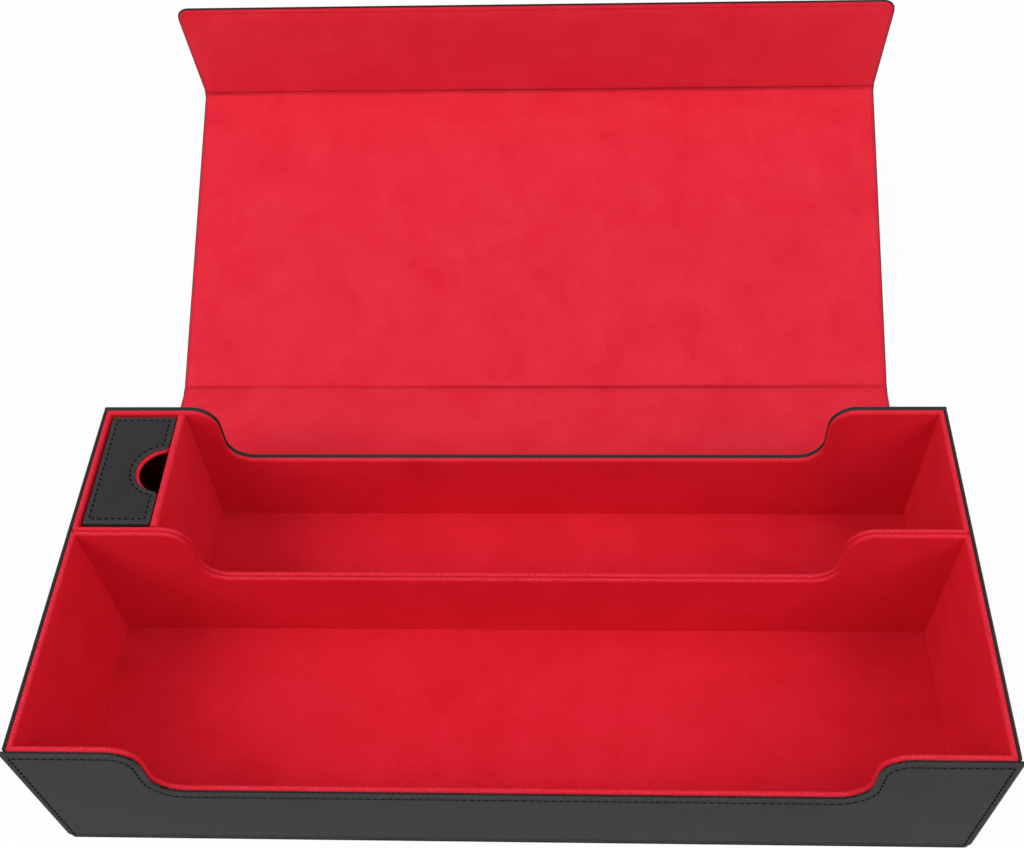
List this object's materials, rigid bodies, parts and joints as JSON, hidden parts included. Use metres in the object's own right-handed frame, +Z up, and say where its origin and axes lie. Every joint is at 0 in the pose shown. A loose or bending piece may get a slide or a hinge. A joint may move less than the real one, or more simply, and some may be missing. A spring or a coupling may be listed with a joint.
{
  "type": "playing card box with drawer",
  "caption": "Long card box with a fold-over cover, a front row and a rear row behind dipped walls, and a small drawer that lifts out of a corner well.",
  "frame": {"origin": "centre of the underside of the box", "axes": "+X along the box to the right, +Y to the rear, towards the open cover, +Z up"},
  "size_m": [0.48, 0.5347, 0.1625],
  "materials": {
    "black_leather": "coated leather with a fine cross-hatched grain, satin",
    "red_suede": "short soft nap, matt",
    "greyboard": "raw board, hidden",
    "magnet_steel": "plated disc magnet, hidden"
  },
  "bodies": {
    "box": {"base_leather": "black_leather", "base_board": "greyboard", "front_leather": "black_leather", "front_board": "greyboard", "rear_leather": "black_leather", "rear_board": "greyboard", "left_leather": "black_leather", "left_board": "greyboard", "right_leather": "black_leather", "right_board": "greyboard", "front_row_floor": "red_suede", "front_row_front_lining": "red_suede", "front_row_left_lining": "red_suede", "front_row_right_lining": "red_suede", "divider_front_panel": "red_suede", "divider_rear_panel": "red_suede", "rear_row_rear_lining": "red_suede", "rear_row_left_lining": "red_suede", "rear_row_right_lining": "red_suede", "rear_row_floor": "red_suede", "drawer_well_floor": "red_suede", "partition": "red_suede", "front_magnet_left": "magnet_steel", "front_magnet_right": "magnet_steel"},
    "drawer": {"drawer_face_leather": "black_leather", "drawer_face_board": "red_suede", "drawer_left_panel": "black_leather", "drawer_front_panel": "black_leather", "drawer_rear_panel": "black_leather", "drawer_bottom_panel": "black_leather", "drawer_bottom_lining": "red_suede", "drawer_front_lining": "red_suede", "drawer_rear_lining": "red_suede", "drawer_left_lining": "red_suede"},
    "base_fold": {"base_fold_leather": "black_leather", "base_fold_lining": "red_suede"},
    "spine": {"spine_leather": "black_leather", "spine_board": "greyboard", "spine_lining": "red_suede"},
    "lid_fold": {"lid_fold_leather": "black_leather", "lid_fold_lining": "red_suede"},
    "lid": {"lid_leather": "black_leather", "lid_board": "greyboard", "lid_lining": "red_suede"},
    "flap_fold": {"flap_fold_leather": "black_leather", "flap_fold_lining": "red_suede"},
    "flap": {"flap_leather": "black_leather", "flap_board": "greyboard", "flap_lining": "red_suede", "flap_magnet_left": "magnet_steel", "flap_magnet_right": "magnet_steel"}
  },
  "joints": [
    {"name": "drawer_slide", "type": "slide", "parent": "box", "child": "drawer", "axis": [0, 0, 1], "range_m": [0, 0.085]},
    {"name": "base_first_crease", "type": "hinge", "parent": "box", "child": "base_fold", "pos_m": [0, 0.11115, 0], "axis": [-1, 0, 0], "range_deg": [-45, 0]},
    {"name": "base_second_crease", "type": "hinge", "parent": "base_fold", "child": "spine", "pos_m": [0, 0.1161, 0], "axis": [-1, 0, 0], "range_deg": [-45, 0]},
    {"name": "lid_first_crease", "type": "hinge", "parent": "spine", "child": "lid_fold", "pos_m": [0, 0.212, 0], "axis": [-1, 0, 0], "range_deg": [-33.5, 11.5]},
    {"name": "lid_second_crease", "type": "hinge", "parent": "lid_fold", "child": "lid", "pos_m": [0, 0.21685, 0.00099], "axis": [-1, 0, 0], "range_deg": [-33.5, 11.5]},
    {"name": "flap_first_crease", "type": "hinge", "parent": "lid", "child": "flap_fold", "pos_m": [0, 0.42175, 0.08796], "axis": [-1, 0, 0], "range_deg": [-6, 39]},
    {"name": "flap_second_crease", "type": "hinge", "parent": "flap_fold", "child": "flap", "pos_m": [0, 0.42408, 0.09233], "axis": [-1, 0, 0], "range_deg": [-6, 39]}
  ]
}
